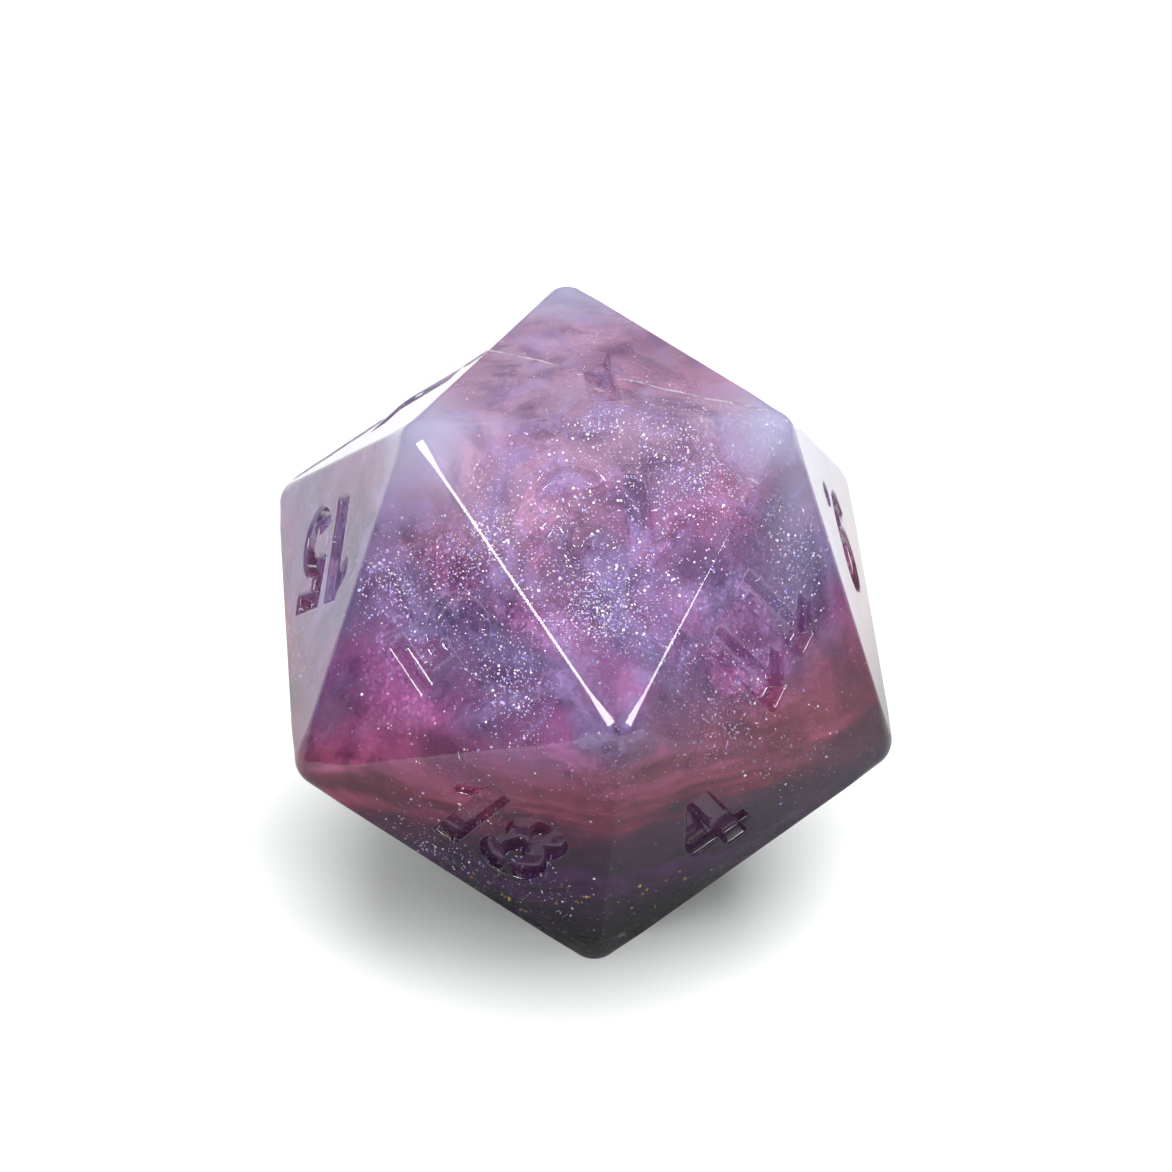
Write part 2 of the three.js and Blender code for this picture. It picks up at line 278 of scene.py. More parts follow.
def outline_distance(points, loop):
    """Signed distance from each point to a closed outline, negative inside."""
    start = loop[None]
    run = np.roll(loop, -1, 0)[None] - start
    offset = points[:, None] - start
    share = np.clip((offset * run).sum(-1) / (run * run).sum(-1), 0, 1)
    gap = np.linalg.norm(offset - share[..., None] * run, axis=-1).min(1)
    above, end_above = offset[..., 1] >= 0, offset[..., 1] - run[..., 1] >= 0
    side = run[..., 0] * offset[..., 1] - run[..., 1] * offset[..., 0]
    turns = (above & ~end_above & (side < 0)).sum(1) - (~above & end_above & (side > 0)).sum(1)
    return np.where(turns != 0, -gap, gap)


class NumeralField:
    """Distance to a numeral's outline on a grid over its face, softened as a casting's corners are."""

    PITCH = 0.05 * MM
    MARGIN = 0.4 * MM
    SOFTENING = 2

    def __init__(self, label):
        width = sum(map(digit_width, label)) + DIGIT_GAP * (len(label) - 1)
        self.low = np.array([-width / 2, -NUMERAL_HEIGHT / 2 - NUMERAL_DROP]) - self.MARGIN
        span = np.array([width, NUMERAL_HEIGHT]) + 2 * self.MARGIN
        self.size = np.ceil(span / self.PITCH).astype(int) + 1
        x = self.low[0] + self.PITCH * np.arange(self.size[0])
        y = self.low[1] + self.PITCH * np.arange(self.size[1])
        points = np.stack(np.meshgrid(x, y), -1).reshape(-1, 2)
        distance = np.full(len(points), np.inf)
        left = -width / 2
        for digit in label:
            local = points - (left, -NUMERAL_HEIGHT / 2 - NUMERAL_DROP)
            for outer, *holes in DIGITS[digit]:
                stroke = outline_distance(local, outer)
                for hole in holes:
                    stroke = np.maximum(stroke, -outline_distance(local, hole))
                distance = np.minimum(distance, stroke)
            left += digit_width(digit) + DIGIT_GAP
        grid = distance.reshape(self.size[1], self.size[0])
        for _ in range(self.SOFTENING):
            for axis in (0, 1):
                ends = np.pad(grid, [(1, 1) if i == axis else (0, 0) for i in (0, 1)], mode="edge")
                before, after = (np.delete(ends, s, axis) for s in ((-1, -2), (0, 1)))
                grid = (before + 2 * grid + after) / 4
        self.grid = grid
        self.slope = np.stack(np.gradient(grid, self.PITCH)[::-1], -1)

    def look_up(self, table, flat):
        """The table's value at each point, between its grid's points. Points off the grid take its edge."""
        at = np.clip((flat - self.low) / self.PITCH, 0, self.size - 1.001)
        cell = at.astype(int)
        u, v = (at - cell).T
        if table.ndim == 3:
            u, v = u[:, None], v[:, None]
        x, y = cell.T
        near = table[y, x] * (1 - u) + table[y, x + 1] * u
        far = table[y + 1, x] * (1 - u) + table[y + 1, x + 1] * u
        return near * (1 - v) + far * v

    def loops(self, level):
        """The closed lines on which the distance is level."""
        inside = self.grid < level
        crossings, points = {}, []

        def crossing(y, x, down):
            key = (y, x, down)
            if key not in crossings:
                a = self.grid[y, x]
                b = self.grid[y + 1, x] if down else self.grid[y, x + 1]
                share = (level - a) / (b - a)
                crossings[key] = len(points)
                points.append((x + (0 if down else share), y + (share if down else 0)))
            return crossings[key]

        mixed = inside[:-1, :-1].astype(int) + inside[1:, :-1] + inside[:-1, 1:] + inside[1:, 1:]
        follow = {}
        for y, x in zip(*np.nonzero((mixed > 0) & (mixed < 4))):
            corners = inside[y, x], inside[y, x + 1], inside[y + 1, x + 1], inside[y + 1, x]
            sides = [(y, x, False), (y, x + 1, True), (y + 1, x, False), (y, x, True)]
            for leave in range(4):
                if corners[leave] and not corners[(leave + 1) % 4]:
                    enter = leave - 1
                    while corners[enter] or not corners[(enter + 1) % 4]:
                        enter -= 1
                    follow[crossing(*sides[leave])] = crossing(*sides[enter])
        points = np.array(points) * self.PITCH + self.low if points else np.zeros((0, 2))
        left = set(follow)
        while left:
            first = here = left.pop()
            line = [here]
            while (here := follow[here]) != first:
                left.discard(here)
                line.append(here)
            yield points[line]


def thinned(loop, tolerance):
    """A closed line with only the points that its shape needs."""
    far = int(np.argmax(np.linalg.norm(loop - loop[0], axis=1)))
    closed = np.concatenate([loop, loop[:1]])
    keep = {0, far}
    spans = [(0, far), (far, len(loop))]
    while spans:
        a, b = spans.pop()
        if b - a < 2:
            continue
        run = closed[b] - closed[a]
        offset = closed[a + 1 : b] - closed[a]
        gap = np.abs(run[0] * offset[:, 1] - run[1] * offset[:, 0]) / np.linalg.norm(run)
        worst = int(np.argmax(gap))
        if gap[worst] > tolerance:
            keep.add(a + 1 + worst)
            spans += [(a, a + 1 + worst), (a + 1 + worst, b)]
    return loop[sorted(keep)]


def groove_profile():
    """The side of an engraved stroke, from the face to the floor: for each ring, its distance from the
    outline, its depth, and how far its normal leans."""
    rim, fillet, spread = 0.16 * MM, 0.2 * MM, 0.12 * MM
    wall = math.radians(80)
    rows = [
        (spread - rim * math.sin(a), rim * (1 - math.cos(a)), a) for a in np.linspace(0, wall, 5)
    ]
    foot = NUMERAL_DEPTH - fillet * (1 - math.cos(wall))
    out = rows[-1][0] - (foot - rows[-1][1]) / math.tan(wall)
    for a in np.linspace(wall, 0, 5):
        aside = fillet * (math.sin(wall) - math.sin(a))
        rows.append((out - aside, foot + fillet * (math.cos(a) - math.cos(wall)), a))
    return rows


for face in faces:
    face.field = NumeralField(face.label)

# ---- Resin surface: flat engraved faces, a rolled strip along each edge, and a ball at each corner ----

# How finely the strips and balls are cut: across their arcs, along each blend, and between the blends
ARC_STEPS, BLEND_STEPS, MIDDLE_STEPS = 8, 8, 12
# How far a thinned outline may stray, and how near points are one point
OUTLINE_TOLERANCE = 0.0015 * MM
SAME_PLACE = 1e-4 * MM


def turned(start, end, share):
    """The direction part of the way from one direction to another."""
    angle = math.acos(float(np.clip(start @ end, -1, 1)))
    return (math.sin((1 - share) * angle) * start + math.sin(share * angle) * end) / math.sin(angle)


def smoothstep(x, low, high):
    t = np.clip((x - low) / (high - low), 0, 1)
    return t * t * (3 - 2 * t)


class Skin:
    """A closed surface in the making: triangles whose corners carry a place and a normal."""

    def __init__(self):
        self.places, self.normals, self.triangles, self.depths, self.count = [], [], [], [], 0

    def add(self, places, normals, triangles, depths=0.0):
        places, normals = np.reshape(places, (-1, 3)), np.reshape(normals, (-1, 3))
        self.depths.append(np.broadcast_to(depths, len(places)))
        triangles = np.reshape(triangles, (-1, 3))
        a, b, c = (places[triangles[:, i]] for i in range(3))
        facing = (np.cross(b - a, c - a) * normals[triangles].sum(1)).sum(1)
        triangles = np.where(facing[:, None] < 0, triangles[:, ::-1], triangles)
        self.places.append(places)
        self.normals.append(normals)
        self.triangles.append(triangles + self.count)
        self.count += len(places)

    def add_grid(self, places, normals):
        rows, columns = places.shape[:2]
        index = np.arange(rows * columns).reshape(rows, columns)
        a, b, c, d = index[:-1, :-1], index[1:, :-1], index[1:, 1:], index[:-1, 1:]
        halves = [np.stack(half, -1).reshape(-1, 3) for half in ((a, b, c), (a, c, d))]
        self.add(places, normals, np.concatenate(halves))

    def build(self, name):
        """The mesh, with points that lie together made one."""
        places, normals = np.concatenate(self.places), np.concatenate(self.normals)
        triangles = np.concatenate(self.triangles)
        cells = np.round(places / SAME_PLACE).astype(np.int64)
        _, first, where = np.unique(cells, axis=0, return_index=True, return_inverse=True)
        triangles = where.reshape(-1)[triangles]
        whole = (triangles != np.roll(triangles, 1, 1)).all(1)
        mesh = new_mesh(name, places[first].tolist(), triangles[whole].tolist())
        mesh.validate()
        mesh.normals_split_custom_set_from_vertices(normals[first].tolist())
        depth = mesh.attributes.new("engraved", "FLOAT", "POINT")
        depth.data.foreach_set("value", np.concatenate(self.depths)[first].astype(np.float32))
        return add_object(name, mesh)


def ball_centre(name):
    """The middle of a corner's ball."""
    return CORNERS[name] + unit(CENTRE - CORNERS[name]) * CORNER_RADIUS * CORNER_DEPTH


def edge_strip(first, second, normal_a, normal_b):
    """The places and normals of a strip rolled along an edge, from one corner's ball to the other's."""
    start, end = CORNERS[first], CORNERS[second]
    along = unit(end - start)
    reach = (ball_centre(first) - start) @ along
    length = np.linalg.norm(end - start) - 2 * reach
    near = np.linspace(0, BLEND_LENGTH, BLEND_STEPS + 1)
    middle = np.linspace(BLEND_LENGTH, length - BLEND_LENGTH, MIDDLE_STEPS + 1)[1:-1]
    stations = np.concatenate([near, middle, (length - near)[::-1]])
    shares = smoothstep(np.minimum(stations, length - stations), 0, BLEND_LENGTH)
    radii = CORNER_RADIUS + (EDGE_RADIUS - CORNER_RADIUS) * shares
    bisector = unit(normal_a + normal_b)
    fan = np.array([turned(normal_a, normal_b, i / ARC_STEPS) for i in range(ARC_STEPS + 1)])
    axis = start + np.outer(reach + stations, along) - np.outer(radii / math.cos(HALF_TURN), bisector)
    places = axis[:, None] + radii[:, None, None] * fan[None]
    return places, np.broadcast_to(fan, places.shape)


def corner_wedge(name, normal_a, normal_b):
    """The places, normals and triangles of a corner's ball between its tip and two faces."""
    tip = unit(CORNERS[name] - CENTRE)
    fan, start, triangles = [tip], [0], []
    for i in range(1, ARC_STEPS + 1):
        left, right = turned(tip, normal_a, i / ARC_STEPS), turned(tip, normal_b, i / ARC_STEPS)
        start.append(len(fan))
        fan += [turned(left, right, j / i) for j in range(i + 1)]
    for i in range(ARC_STEPS):
        for j in range(i + 1):
            a, b = start[i] + j, start[i + 1] + j
            triangles.append((a, b, b + 1))
            if j < i:
                triangles.append((a, b + 1, a + 1))
    fan = np.array(fan)
    return ball_centre(name) + CORNER_RADIUS * fan, fan, triangles


def triangulated(face, rim, loops):
    """Fills a face's rim in its plane, with loops as lines that triangles don't cross. Returns the index of
    the rim or loop point that each corner was, and the triangles."""
    lines = [face.to_plane(rim, rim.mean(0)), *loops]
    edges, start = [], 0
    for line in lines:
        count = len(line)
        edges += [(start + i, start + (i + 1) % count) for i in range(count)]
        start += count
    points = np.concatenate(lines)
    result = delaunay_2d_cdt([Vector(p / MM) for p in points], edges, [], 1, 1e-6)
    origin = np.array([source[0] if source else -1 for source in result[3]])
    assert (origin >= 0).all(), f"lines cross on face {face.label}"
    return origin, np.array(result[2])


def fill_engraved(skin, face, rim):
    """A face of the resin surface, with its numeral cut in."""
    places, normals, loops = [rim], [np.tile(face.normal, (len(rim), 1))], []
    depths = [np.zeros(len(rim))]
    for distance, depth, lean in groove_profile():
        for loop in face.field.loops(distance):
            loop = thinned(loop, OUTLINE_TOLERANCE)
            if len(loop) < 3:
                continue
            slope = face.field.look_up(face.field.slope, loop)
            slope /= np.maximum(np.linalg.norm(slope, axis=1, keepdims=True), 1e-9)
            side = slope[:, :1] * face.right + slope[:, 1:] * face.up
            loops.append(loop)
            places.append(face.from_plane(loop, depth))
            depths.append(np.full(len(loop), depth / NUMERAL_DEPTH))
            normals.append(math.cos(lean) * face.normal - math.sin(lean) * side)
    lines = [loop - face.to_plane(rim).mean(0) for loop in loops]
    origin, triangles = triangulated(face, rim, lines)
    places, normals = np.concatenate(places)[origin], np.concatenate(normals)[origin]
    skin.add(places, normals, triangles, np.concatenate(depths)[origin])


def rounded_die():
    """The whole surface: strips, corners and engraved faces."""
    skin, rims = Skin(), {face.label: {} for face in faces}
    for i, a in enumerate(faces):
        for b in faces[i + 1 :]:
            shared = [name for name in a.names if name in b.names]
            if len(shared) != 2:
                continue
            places, normals = edge_strip(*shared, a.normal, b.normal)
            skin.add_grid(places, normals)
            for name in shared:
                skin.add(*corner_wedge(name, a.normal, b.normal))
            rims[a.label][tuple(shared)] = places[:, 0]
            rims[b.label][tuple(shared)] = places[:, -1]
    for face in faces:
        sides, loop = rims[face.label], []
        for first, second in zip(face.names, face.names[1:] + face.names[:1]):
            side = sides[first, second] if (first, second) in sides else sides[second, first][::-1]
            loop.append(side[:-1])
        fill_engraved(skin, face, np.concatenate(loop))
    return skin


resin_surface = rounded_die().build("resin_surface")

# ---- Pigment: the pours' cloudy hearts, one soft-edged icosahedron cut at wavy levels ----

PIGMENT_INSET = 0.9 * MM
PIGMENT_SOFTNESS = 0.3 * MM
POURS = ["midnight", "oxblood", "rose", "violet", "pearl"]
POUR_TOPS = [5.0 * MM, 8.2 * MM, 11.0 * MM, 16.6 * MM]
PIGMENT_FOOT, PIGMENT_CROWN = 0.95 * MM, ACROSS_FLATS - 0.95 * MM
PIGMENT_SPOKES, SIDE_RINGS, CAP_RINGS = 288, 28, 12
HALVINGS = 40
NORMALS = np.array([face.normal for face in faces])


def pigment_excess(points):
    """How far points lie outside the soft-edged icosahedron, and its outward direction there."""
    reach = (points - CENTRE) @ NORMALS.T - (ACROSS_FLATS / 2 - PIGMENT_INSET)
    highest = reach.max(-1, keepdims=True)
    weight = np.exp((reach - highest) / PIGMENT_SOFTNESS)
    total = weight.sum(-1, keepdims=True)
    return (highest + PIGMENT_SOFTNESS * np.log(total))[..., 0], (weight / total) @ NORMALS


def ripple(x, y, seed):
    """How far a pour's wavy top rises above its level, as in the CAD model."""
    wave = 0.35 * MM * np.sin(0.42 * x / MM + 1.9 * seed) * np.cos(0.36 * y / MM + 1.3 * seed)
    return wave + 0.035 * x * math.cos(2.1 * seed)


def pour_level(index, x, y):
    """The height of the top of a pour. Below the first is the pigment's foot, above the last its crown."""
    if index < 0:
        return np.full_like(x, PIGMENT_FOOT)
    if index >= len(POUR_TOPS):
        return np.full_like(x, PIGMENT_CROWN)
    return POUR_TOPS[index] + ripple(x, y, index)


def pigment_body(index, name):
    """One pour's pigment, as rings from the middle of its foot, up its side, to the middle of its top."""
    angle = np.linspace(0, 2 * math.pi, PIGMENT_SPOKES, endpoint=False)
    across, along = np.cos(angle), np.sin(angle)

    def height(share, x, y):
        low, high = pour_level(index - 1, x, y), pour_level(index, x, y)
        return low + share * (high - low)

    def ring(share, radius):
        x, y = radius * across, radius * along
        return np.stack([x, y, height(share, x, y)], -1)

    sides, reach = np.linspace(0, 1, SIDE_RINGS), []
    for share in sides:
        inner, outer = np.zeros(len(angle)), np.full(len(angle), ACROSS_FLATS)
        for _ in range(HALVINGS):
            middle = (inner + outer) / 2
            out = pigment_excess(ring(share, middle))[0] > 0
            inner, outer = np.where(out, inner, middle), np.where(out, middle, outer)
        reach.append((inner + outer) / 2)
    caps = np.linspace(0, 1, CAP_RINGS + 2)[1:-1]
    rings = [ring(0, reach[0] * share) for share in caps]
    rings += [ring(share, radius) for share, radius in zip(sides, reach)]
    rings += [ring(1, reach[-1] * share) for share in caps[::-1]]
    middle = np.zeros(1)
    foot, crown = ([[0, 0, height(share, middle, middle)[0]]] for share in (0, 1))
    points = np.concatenate([foot, *rings, crown])
    count, last = len(angle), len(points) - 1
    top = last - count
    polygons = ringed(len(rings), count)
    polygons += [(top + i, top + (i + 1) % count, last) for i in range(count)]
    mesh = new_mesh(name, points.tolist(), polygons)
    mesh.polygons.foreach_set("use_smooth", [True] * len(mesh.polygons))
    normals = pigment_excess(points)[1]
    capped = CAP_RINGS * count
    normals[: 1 + capped] = (0, 0, -1)
    normals[last - capped :] = (0, 0, 1)
    normals /= np.linalg.norm(normals, axis=1, keepdims=True)
    mesh.normals_split_custom_set_from_vertices(normals.tolist())
    return add_object(name, mesh)


pigments = [pigment_body(i, f"{name}_pigment") for i, name in enumerate(POURS)]

# ---- Mica, glitter and gold: thin flakes between the surface and the pigment ----

# Where flakes have drifted together: a face, a point on it as shares of its corners, a radius and a strength
DRIFTS = [
    ("13", (0.59, 0.24, 0.17), 1.2 * MM, 9.0),
    ("13", (0.52, 0.20, 0.28), 1.8 * MM, 3.0),
    ("13", (0.32, 0.62, 0.06), 0.7 * MM, 6.0),
    ("13", (0.16, 0.76, 0.08), 0.9 * MM, 4.0),
    ("13", (0.06, 0.12, 0.82), 2.0 * MM, 6.0),
    ("13", (0.20, 0.20, 0.60), 1.6 * MM, 3.0),
    ("13", (0.20, 0.50, 0.30), 2.4 * MM, 1.2),
    ("5", (0.36, 0.10, 0.54), 0.8 * MM, 6.0),
    ("5", (0.10, 0.32, 0.58), 0.9 * MM, 5.0),
    ("5", (0.20, 0.60, 0.20), 1.4 * MM, 2.5),
    ("5", (0.30, 0.20, 0.50), 2.2 * MM, 1.5),
    ("11", (0.25, 0.10, 0.65), 1.2 * MM, 3.0),
    ("11", (0.40, 0.15, 0.45), 0.9 * MM, 2.0),
    ("1", (0.02, 0.45, 0.53), 1.2 * MM, 2.5),
    ("18", (0.10, 0.70, 0.20), 1.8 * MM, 0.7),
    ("18", (0.25, 0.35, 0.40), 2.5 * MM, 0.5),
    ("18", (0.05, 0.45, 0.50), 1.2 * MM, 0.8),
]
FACE_NAMED = {face.label: face for face in faces}

# How deep flakes float under a face, and how near they come to the surface and to the pigment
SHALLOWEST, DEEPEST = 0.14 * MM, 0.84 * MM
SURFACE_GAP, PIGMENT_GAP = 0.12 * MM, 0.03 * MM


def drifted(flat):
    """How strongly flakes have drifted together at points on a face."""
    total = np.zeros(len(flat))
    for label, weights, radius, strength in DRIFTS:
        middle = sum(w * CORNERS[n] for w, n in zip(weights, FACE_NAMED[label].names)) / sum(weights)
        distance = np.linalg.norm(flat - middle, axis=1)
        total += strength * np.exp(-((distance / radius) ** 2))
    return total


def flow_facing(face):
    """The way that drifted flakes face, as the edge between face 13 and its neighbour does."""
    beside = "11" if face.label == "11" else "5"
    return unit(FACE_NAMED["13"].normal + FACE_NAMED[beside].normal)


def flake_places(count, density):
    """Random places under the faces, kept where density says, and the direction that flakes face there."""
    chosen = []
    for face in faces:
        a, b, c = (CORNERS[name] for name in face.names)
        u, v = rng.random((2, count))
        u, v = np.where(u + v > 1, 1 - u, u), np.where(u + v > 1, 1 - v, v)
        flat = a + u[:, None] * (b - a) + v[:, None] * (c - a)
        depth = SHALLOWEST + (DEEPEST - SHALLOWEST) * rng.random(count) ** 1.3
        cut = face.field.look_up(face.field.grid, face.to_plane(flat)) < 0.12 * MM
        depth = np.where(cut, NUMERAL_DEPTH + 0.06 * MM + 0.16 * MM * rng.random(count), depth)
        keep = rng.random(count) < density(flat)
        inside = flat - depth[:, None] * face.normal
        below_surface = ((inside - CENTRE) @ NORMALS.T - ACROSS_FLATS / 2).max(1) < -SURFACE_GAP
        above_pigment = pigment_excess(inside)[0] > PIGMENT_GAP
        keep &= below_surface & above_pigment
        aligned = np.clip(0.4 * drifted(flat), 0, 1)[:, None]
        facing = (1 - aligned) * face.normal + aligned * flow_facing(face)
        chosen.append((inside[keep], facing[keep]))
    return [np.concatenate(parts) for parts in zip(*chosen)]


def flakes(name, points, fronts, sides, low, high, lean):
    """A mesh of many-sided flakes, of radius low to high. Each leans by about lean from its front."""
    count = len(points)
    facing = fronts + lean * rng.normal(size=(count, 3))
    facing /= np.linalg.norm(facing, axis=1, keepdims=True)
    side = np.cross(facing, rng.normal(size=(count, 3)))
    side /= np.linalg.norm(side, axis=1, keepdims=True)
    other = np.cross(facing, side)
    size = low + (high - low) * rng.random(count) ** 2
    ring = np.arange(sides) * 2 * math.pi / sides
    spokes = np.cos(ring)[:, None] * side[:, None] + np.sin(ring)[:, None] * other[:, None]
    rim = points[:, None] + size[:, None, None] * spokes
    thick = (0.12 * size)[:, None] * facing
    corners = np.concatenate([rim, (points + thick)[:, None], (points - thick)[:, None]], 1)
    step = np.arange(sides)
    shape = np.concatenate([
        np.stack([step, (step + 1) % sides, np.full(sides, sides)], -1),
        np.stack([(step + 1) % sides, step, np.full(sides, sides + 1)], -1),
    ])
    triangles = (shape[None] + (sides + 2) * np.arange(count)[:, None, None]).reshape(-1, 3)
    return add_object(name, new_mesh(name, corners.reshape(-1, 3).tolist(), triangles.tolist()))


def cloud(points):
    """A smooth random field from 0 to 1."""
    local = np.random.default_rng(7)
    total = np.zeros(len(points))
    for scale in (0.28, 0.5, 0.9, 1.6):
        for _ in range(4):
            wave = unit(local.normal(size=3)) * scale / MM
            total += np.sin(points @ wave + 2 * math.pi * local.random()) * scale**-0.6
    return 1 / (1 + np.exp(-1.2 * total))


def shimmer_density(flat):
    """The share of mica and glitter kept at points on a face: in clouds, mostly high up, and in drifts."""
    density = 0.015 + 0.15 * cloud(flat) ** 2
    density *= 0.3 + 0.7 * smoothstep(flat[:, 2] - 0.1 * flat[:, 0], 8 * MM, 12 * MM)
    return np.clip(density + 0.1 * drifted(flat), 0, 1)


def gold_density(flat):
    """Gold has sunk to the foot."""
    return 0.5 * (flat[:, 2] < 4 * MM)


mica = flakes("mica", *flake_places(15000, shimmer_density), 4, 0.018 * MM, 0.036 * MM, 0.3)
glitter = flakes("glitter", *flake_places(2200, shimmer_density), 6, 0.03 * MM, 0.06 * MM, 0.3)
gold = flakes("gold_flakes", *flake_places(450, gold_density), 6, 0.035 * MM, 0.08 * MM, 0.45)

# ---- Mould line: a thin raised thread of resin where the mould's cap met its body ----

THREAD_WIDTH, THREAD_HEIGHT = 0.09 * MM, 0.035 * MM
THREAD_SECTION = [(-0.5, -0.3), (-0.3, 0.7), (0, 1), (0.3, 0.7), (0.5, -0.3), (0, -0.6)]


def thread(path, normals):
    """A closed thread, lens-shaped in section, along a path. Returns its points and polygons."""
    count, around = len(path), len(THREAD_SECTION)
    along = np.gradient(path, axis=0)
    side = np.cross(along, normals)
    side /= np.linalg.norm(side, axis=1, keepdims=True)
    from_end = np.minimum(np.arange(count), np.arange(count)[::-1]) / 5
    taper = np.sqrt(np.clip(from_end, 0.02, 1))[:, None]
    points = np.concatenate([
        path + taper * (x * THREAD_WIDTH * side + y * THREAD_HEIGHT * normals) for x, y in THREAD_SECTION
    ])
    polygons = []
    for j in range(around):
        a, b = j * count, (j + 1) % around * count
        polygons += [(a + i, b + i, b + i + 1, a + i + 1) for i in range(count - 1)]
    ends = [[j * count for j in range(around)][::-1], [(j + 1) * count - 1 for j in range(around)]]
    return points, polygons + ends


def mould_line(name):
    """The thread from corner to corner over two faces. It dips to the floor of the numeral it crosses."""
    half_way = (CORNERS["crownLeft"] + CORNERS["crownBack"]) / 2
    side_face, top_face = FACE_NAMED["7"], FACE_NAMED["1"]
    legs = [(CORNERS["upperLeft"], half_way, side_face), (half_way, CORNERS["crownRight"], top_face)]
    off_corner, step = 0.85 * MM, 0.06 * MM
    places, normals, depths = [], [], []
    for start, end, face in legs:
        length = np.linalg.norm(end - start)
        along = (end - start) / length
        near = off_corner if face is side_face else 0
        far = length - (off_corner if face is top_face else 0)
        reach = np.arange(near, far, step)
        wave = 0.05 * np.sin(reach / (0.7 * MM)) + 0.035 * np.sin(reach / (0.29 * MM) + 1)
        wave *= MM * smoothstep(np.minimum(reach, length - reach), 0, MM)
        path = start + reach[:, None] * along + wave[:, None] * np.cross(face.normal, along)
        inside = face.field.look_up(face.field.grid, face.to_plane(path))
        places.append(path)
        normals.append(np.tile(face.normal, (len(path), 1)))
        depths.append(np.where(inside < -0.2 * MM, 2, np.where(inside < 0.16 * MM, 1, 0)))
    places, normals, depths = map(np.concatenate, (places, normals, depths))
    for _ in range(3):
        normals[1:-1] = (normals[:-2] + normals[1:-1] + normals[2:]) / 3
        middle = (places[:-2] + places[1:-1] + places[2:]) / 3
        turning = np.linalg.norm(normals[1:-1], axis=1, keepdims=True) < 0.9999
        places[1:-1] = np.where(turning, middle, places[1:-1])
    normals /= np.linalg.norm(normals, axis=1, keepdims=True)
    points, polygons, count = [], [], 0
    for run in np.split(np.arange(len(places)), np.nonzero(np.diff(depths))[0] + 1):
        if depths[run[0]] == 1 or len(run) < 4:
            continue
        sunk = NUMERAL_DEPTH if depths[run[0]] == 2 else 0
        corners, sides = thread(places[run] - sunk * normals[run], normals[run])
        polygons += [[count + i for i in side] for side in sides]
        points.append(corners)
        count += len(corners)
    return add_object(name, new_mesh(name, np.concatenate(points).tolist(), polygons))


flash = mould_line("mould_line")

# ---- Materials ----


def srgb(red, green, blue):
    """A linear colour from an 8-bit screen colour."""
    parts = [c / 255 for c in (red, green, blue)]
    return tuple(c / 12.92 if c <= 0.04045 else ((c + 0.055) / 1.055) ** 2.4 for c in parts)


class Shader:
    """The node tree of a material or a world, with short ways to add its nodes."""

    def __init__(self, owner):
        self.owner = owner
        owner.use_nodes = True
        self.tree = owner.node_tree
        self.tree.nodes.clear()

    def add(self, kind, inputs=(), **settings):
        """Adds a node and sets or links its inputs. Returns the node."""
        node = self.tree.nodes.new(kind)
        for name, value in settings.items():
            setattr(node, name, value)
        for name, value in dict(inputs).items():
            socket = node.inputs[name]
            if isinstance(value, bpy.types.NodeSocket):
                self.tree.links.new(value, socket)
            elif isinstance(value, tuple) and len(value) == 3 and socket.type == "RGBA":
                socket.default_value = (*value, 1)
            else:
                socket.default_value = value
        return node

    def math(self, operation, *values):
        return self.add("ShaderNodeMath", dict(enumerate(values)), operation=operation).outputs[0]

    def vector(self, operation, *values):
        sockets = (0, "Scale") if operation == "SCALE" else (0, 1)
        node = self.add("ShaderNodeVectorMath", dict(zip(sockets, values)), operation=operation)
        return node.outputs["Value" if operation == "LENGTH" else "Vector"]

    def smooth(self, value, low, high, start=0.0, end=1.0):
        """Goes smoothly from start to end as the value goes from low to high."""
        inputs = {"Value": value, "From Min": low, "From Max": high, "To Min": start, "To Max": end}
        return self.add("ShaderNodeMapRange", inputs, interpolation_type="SMOOTHSTEP").outputs[0]

    def between(self, share, a, b):
        """A number share of the way from a to b."""
        inputs = {"Factor": share, "A": a, "B": b}
        return self.add("ShaderNodeMix", inputs, data_type="FLOAT").outputs[0]

    def principled(self, inputs):
        return self.add("ShaderNodeBsdfPrincipled", inputs).outputs[0]

    def place(self):
        """The place on the object, in millimetres."""
        return self.vector("SCALE", self.add("ShaderNodeTexCoord").outputs["Object"], 1 / MM)

    def mix(self, share, a, b, blend="MIX"):
        """A colour share of the way from a to b."""
        inputs = {0: share, 6: a, 7: b}
        return self.add("ShaderNodeMix", inputs, data_type="RGBA", blend_type=blend).outputs[2]

    def noise(self, place, scale, detail=2.0, **more):
        inputs = {"Vector": place, "Scale": scale, "Detail": detail, "Roughness": 0.55, **more}
        return self.add("ShaderNodeTexNoise", inputs, noise_dimensions="3D")

    def ramp(self, value, stops):
        node = self.add("ShaderNodeValToRGB", {"Fac": value})
        elements = node.color_ramp.elements
        while len(elements) < len(stops):
            elements.new(0.5)
        for element, (position, colour) in zip(elements, stops):
            element.position = position
            element.color = (*srgb(*colour), 1)
        return node.outputs["Color"]

    def finish(self, surface, output="ShaderNodeOutputMaterial"):
        self.add(output, {"Surface": surface})
        return self.owner


